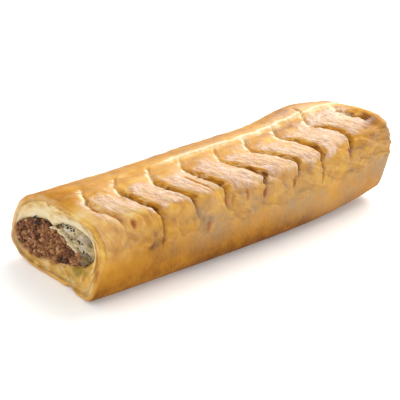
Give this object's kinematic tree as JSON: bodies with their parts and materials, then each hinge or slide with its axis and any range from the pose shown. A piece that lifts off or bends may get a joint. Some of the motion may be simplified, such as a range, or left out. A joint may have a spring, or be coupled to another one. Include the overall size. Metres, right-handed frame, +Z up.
{
  "type": "sausage roll",
  "caption": "Baked sausage roll: puff pastry wrapped round minced sausage meat, slashed across the top, with both cut ends showing the filling.",
  "frame": {"origin": "middle of the base of the whole roll's bounding box, on the surface that it lies on", "axes": "+X along the roll from the near cut end to the far one, -Y out of the long side that the slashes run down, +Z up"},
  "size_m": [0.1542, 0.0638, 0.0386],
  "materials": {
    "baked_pastry": "egg-glazed puff pastry, golden, with pale cut layers",
    "sausage_meat": "coarse cooked mince, moist",
    "moist_dough": "steamed grey-green dough with pepper specks, wet"
  },
  "bodies": {
    "root": {"pastry": "baked_pastry", "filling": "sausage_meat", "moist_layer": "moist_dough"}
  },
  "joints": []
}
